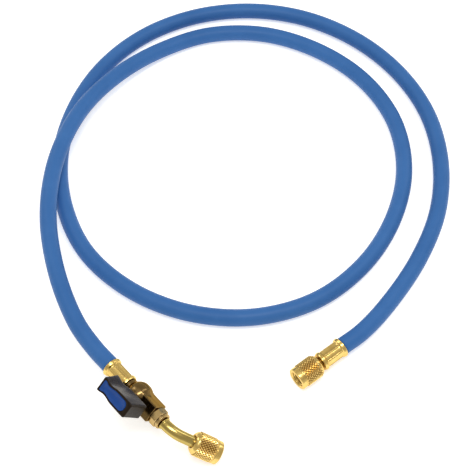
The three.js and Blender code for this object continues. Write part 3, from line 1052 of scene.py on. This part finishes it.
# Hex adapter
# Turned from hexagon brass bar: a spigot in the body's chamber, the hexagon with
# chamfered corners, and a round collar whose socket takes the bent tube.
hex_half_flats = 6.0
hex_length = 5.2
round_length = 2.4
adapter_face = body_length + running_gap
hex_end = adapter_face + hex_length
adapter_end = hex_end + round_length
spigot_radius = 5.3
tube_socket = 4.0
tube_radius = 4.0
outlet_place = valve_place @ Matrix.Rotation(math.radians(7), 4, "X")

adapter_brass = brass("adapter_brass", (0.42, 0.29, 0.12), (0.56, 0.40, 0.18), 0.2, 0.2, (0.9, 0.8, 0.6))


def chamfered_hexagon(x, radius, turn):
    """Flats of a hexagon, with its corners turned off at both ends."""
    if radius < hex_half_flats + 0.3:
        return radius
    from_corner = (turn - math.pi / 2 + math.pi / 6) % (math.pi / 3) - math.pi / 6
    reach = hex_half_flats / math.cos(math.pi / 6 - abs(from_corner))
    cone = hex_half_flats + 0.05 + min(x - adapter_face, hex_end - x) * 1.5
    return min(reach, cone)


def adapter():
    spigot = stem_x + ball_radius + seat_behind_ball
    hexagon = [(adapter_face + hex_length * k / 16, 7.0) for k in range(17)]
    outer = [
        (spigot, spigot_radius - 0.4), (spigot + 0.4, spigot_radius),
        (adapter_face, spigot_radius), (adapter_face, 5.9), *hexagon,
        (hex_end, 5.6), (hex_end + 0.25, 5.6), (hex_end + 0.4, 6.0), (adapter_end - 0.55, 6.0),
        (adapter_end, 5.5), (adapter_end, tube_radius + running_gap),
        (adapter_end - tube_socket, tube_radius + running_gap),
        (adapter_end - tube_socket, valve_bore), (spigot, valve_bore),
    ]
    return turned(outer, 192, chamfered_hexagon, soften=0.1)


hex_adapter = new_piece(
    "hexagon_adapter", set_down(adapter(), outlet_place), adapter_brass, "root",
)
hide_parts("hex_adapter")


# Bent tube
# Drawn brass tube brazed into the adapter, bent 45 degrees and flared inside the
# second nut.
tube_bore = 2.5
bead_half = 0.95
bead_height = 0.6
bend_radius = 20.0
bend = math.radians(45)
tube_shown = 1.6
lead_in = tube_socket - running_gap + tube_shown
lead_out = 7.0
tube_start = adapter_end - tube_socket + running_gap
bead_at = tube_socket + 0.9


def tube_station(along):
    """Place and direction of the tube's middle line, in millimetres from its start."""
    arc = bend_radius * bend
    turn = min(max(along - lead_in, 0), arc) / bend_radius
    before = min(along, lead_in)
    after = max(along - lead_in - arc, 0)
    place = Vector((
        tube_start + before + bend_radius * math.sin(turn) + after * math.cos(turn), 0,
        -bend_radius * (1 - math.cos(turn)) - after * math.sin(turn),
    ))
    return place, Vector((math.cos(turn), 0, -math.sin(turn)))


def tube_skin():
    end = lead_in + bend_radius * bend + lead_out
    outside = [(end * k / 60, tube_radius) for k in range(61)]
    outside += [
        (bead_at + bead_half * k / 5, tube_radius + bead_height * math.cos(k * math.pi / 10) ** 2)
        for k in range(-5, 6)
    ]
    outside.sort()
    outside = [
        station for station in outside
        if abs(station[0] - bead_at) > bead_half or station[1] > tube_radius
    ]
    head = end + nut_back_wall + running_gap
    outside += [
        (end + 0.1, neck_radius), (head, neck_radius), (head + 0.01, head_radius),
        (head + head_length - 0.5, head_radius), (head + head_length, head_radius - 0.5),
    ]
    inside = [((head + head_length) * k / 60, tube_bore) for k in range(60, -1, -1)]
    build = bmesh.new()
    rings = []
    lengths = []
    for along, radius in outside + inside:
        place, ahead = tube_station(along)
        up = ahead.cross(Vector((0, 1, 0)))
        ring = []
        for k in range(64):
            turn = 2 * math.pi * k / 64
            out = math.cos(turn) * Vector((0, 1, 0)) - math.sin(turn) * up
            ring.append(build.verts.new((place + radius * out) * mm))
        rings.append(ring)
        lengths.append(along * mm)
    rings.append(rings[0])
    lengths.append(0.0)
    bridge_rings(build, rings, lengths, closed_ends=False)
    bmesh.ops.recalc_face_normals(build, faces=build.faces)
    return build


tube_brass = brass("tube_brass", (0.45, 0.34, 0.10), (0.57, 0.43, 0.14), 0.16, 0.2, (0.85, 0.75, 0.5))
bent_tube = new_piece(
    "drawn_tube", set_down(tube_skin(), outlet_place), tube_brass, "root",
)
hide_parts("bent_tube")


# Floor and light
# A white, faintly glowing table. The main soft box hangs above it, a little in
# front, and two weaker ones stand behind it on the left and right. The brass
# shows them and the pale room's walls as bands of light and dark.
floor = bpy.data.objects.new("floor", bpy.data.meshes.new("floor"))
floor_build = bmesh.new()
bmesh.ops.create_grid(floor_build, x_segments=1, y_segments=1, size=3.0)
floor_build.to_mesh(floor.data)
floor_build.free()
bpy.context.scene.collection.objects.link(floor)
table, _, _, table_shader = new_material("white_table")
table_shader.inputs["Base Color"].default_value = (0.85, 0.85, 0.85, 1)
table_shader.inputs["Roughness"].default_value = 0.8
table_shader.inputs["Specular IOR Level"].default_value = 0.05
table_shader.inputs["Emission Color"].default_value = (1, 1, 1, 1)
table_shader.inputs["Emission Strength"].default_value = 0.5
floor.data.materials.append(table)


def area_light(name, place, size, power):
    """A soft box that points at the middle of the floor."""
    light = bpy.data.lights.new(name, "AREA")
    light.shape = "RECTANGLE"
    light.size, light.size_y = size
    light.energy = power
    holder = bpy.data.objects.new(name, light)
    bpy.context.scene.collection.objects.link(holder)
    holder.location = place
    holder.rotation_euler = (-Vector(place)).to_track_quat("-Z", "Y").to_euler()


area_light("soft_box_left", (-0.9, 0.9, 1.1), (0.4, 0.9), 3)
area_light("soft_box_right", (1.0, 0.7, 0.9), (0.3, 0.9), 2)
area_light("soft_box_top", (0.1, -0.2, 1.5), (0.9, 0.35), 9)

world = bpy.data.worlds.new("pale_room")
bpy.context.scene.world = world
world.use_nodes = True
room = world.node_tree
sky_place = add_node(room.nodes, "ShaderNodeTexCoord")
sky_parts = add_node(room.nodes, "ShaderNodeSeparateXYZ")
room.links.new(sky_place.outputs["Generated"], sky_parts.inputs["Vector"])
sky_tint = ramp(room.nodes, [
    (0.0, (0.8, 0.79, 0.76)), (0.35, (0.62, 0.59, 0.54)), (0.7, (0.5, 0.47, 0.42)),
    (1.0, (0.95, 0.92, 0.87)),
])
room.links.new(sky_parts.outputs["Z"], sky_tint.inputs["Fac"])
room.links.new(sky_tint.outputs["Color"], room.nodes["Background"].inputs["Color"])
room.nodes["Background"].inputs["Strength"].default_value = 1.0
bpy.context.scene.view_settings.view_transform = "Standard"
